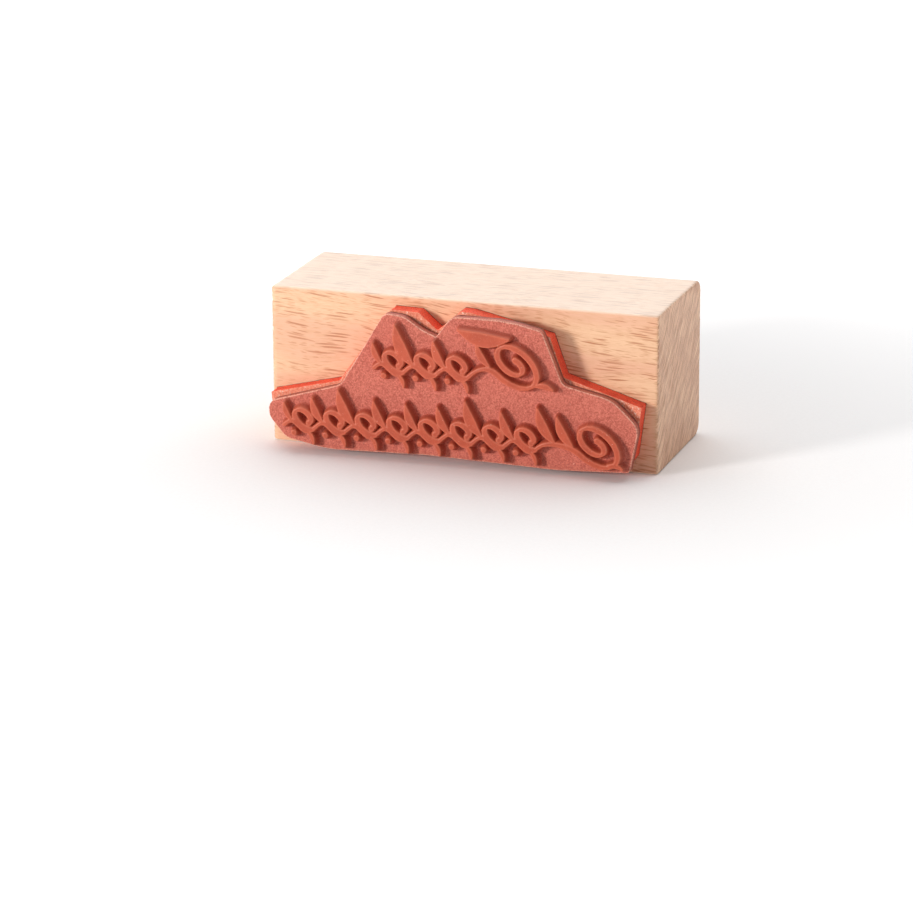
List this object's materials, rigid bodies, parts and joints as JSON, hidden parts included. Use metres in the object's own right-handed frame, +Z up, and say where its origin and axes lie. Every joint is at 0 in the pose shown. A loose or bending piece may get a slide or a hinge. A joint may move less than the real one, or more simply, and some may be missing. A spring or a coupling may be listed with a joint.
{
  "type": "rubber stamp",
  "caption": "Wood-mounted rubber stamp: a hardwood block with a raised rubber die on a foam cushion and the same motif printed on its opposite face.",
  "frame": {"origin": "centre of the long narrow face of the wood block that the stamp stands on", "axes": "+X along the block and its grain; -Y out of the printing side, so +Y is the side with the index print; +Z up, from the face it stands on to the opposite narrow face"},
  "size_m": [0.065, 0.031, 0.026],
  "materials": {
    "beech": "sanded and unvarnished beech with short dark ray flecks",
    "adhesive": "thin double-sided film",
    "foam": "fine-celled foam, knife-cut edges, red-orange",
    "rubber": "matt vulcanised rubber, grainy between the raised strokes",
    "ink": "matt black stamp ink soaked into the wood"
  },
  "bodies": {
    "block": {"wood_block": "beech", "block_adhesive": "adhesive", "foam_cushion": "foam", "index_print": "ink"},
    "die": {"die_adhesive": "adhesive", "rubber_die": "rubber"}
  },
  "joints": [
    {"name": "die_press", "type": "slide", "parent": "block", "child": "die", "axis": [0, 1, 0], "range_m": [0, 0.0008], "stiffness_N_per_m": 20000, "deforming": ["foam_cushion"]}
  ]
}
